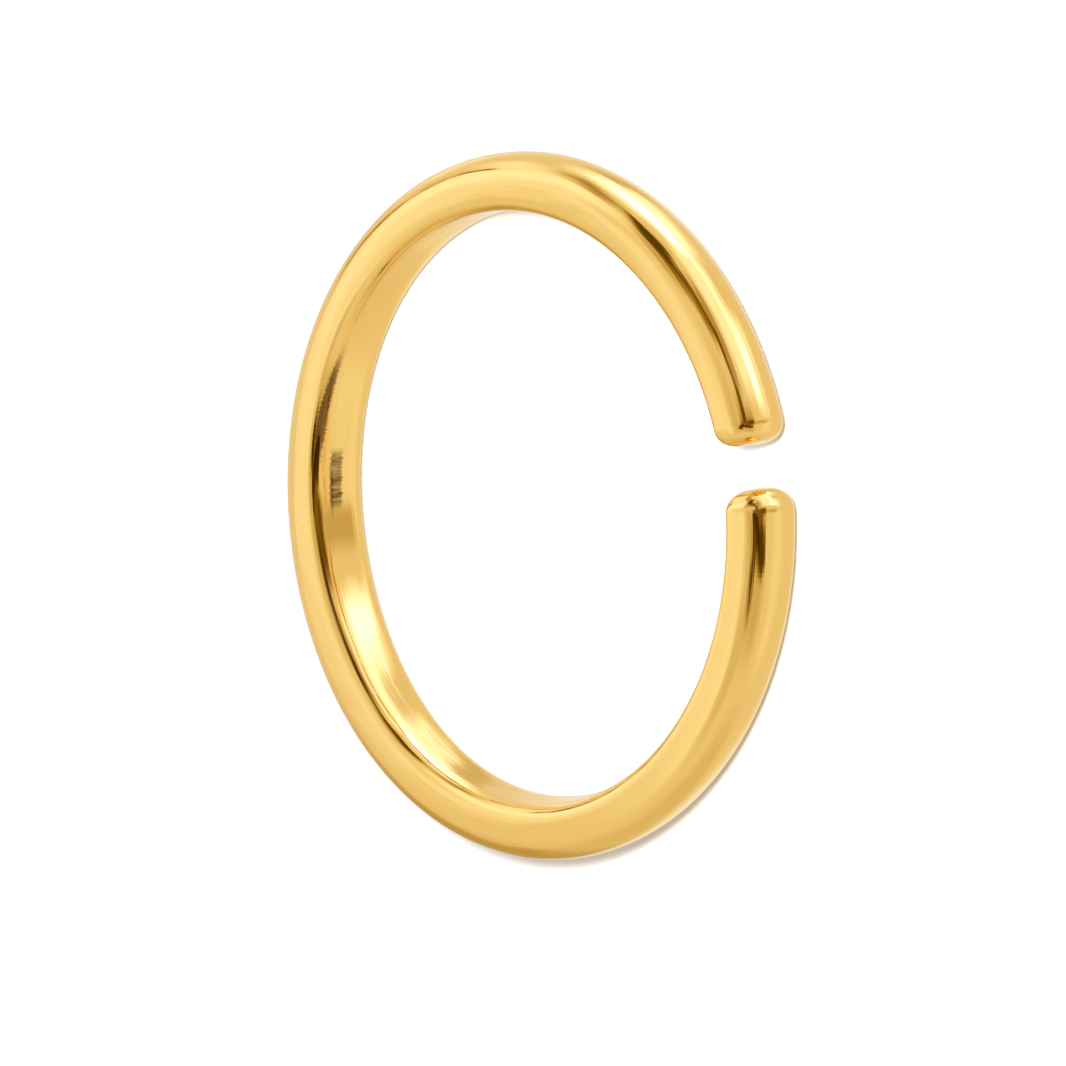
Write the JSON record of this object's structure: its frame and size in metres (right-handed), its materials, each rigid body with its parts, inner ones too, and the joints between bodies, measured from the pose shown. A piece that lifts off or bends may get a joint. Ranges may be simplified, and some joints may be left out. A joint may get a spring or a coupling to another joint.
{
  "type": "open toe ring",
  "caption": "Plain polished open toe ring: a domed gold-coloured band, flatter on the inside, whose rounded ends almost meet across a small gap.",
  "frame": {"origin": "middle of the ring's outline, on the surface it lies on", "axes": "+Z along the bore, up from the surface the ring lies on; the gap between the ends faces -Y"},
  "size_m": [0.0182, 0.0184, 0.0017],
  "materials": {
    "polished_gold": "bright polished gold plate with fine polishing lines"
  },
  "bodies": {
    "root": {"ring_band": "polished_gold"}
  },
  "joints": []
}
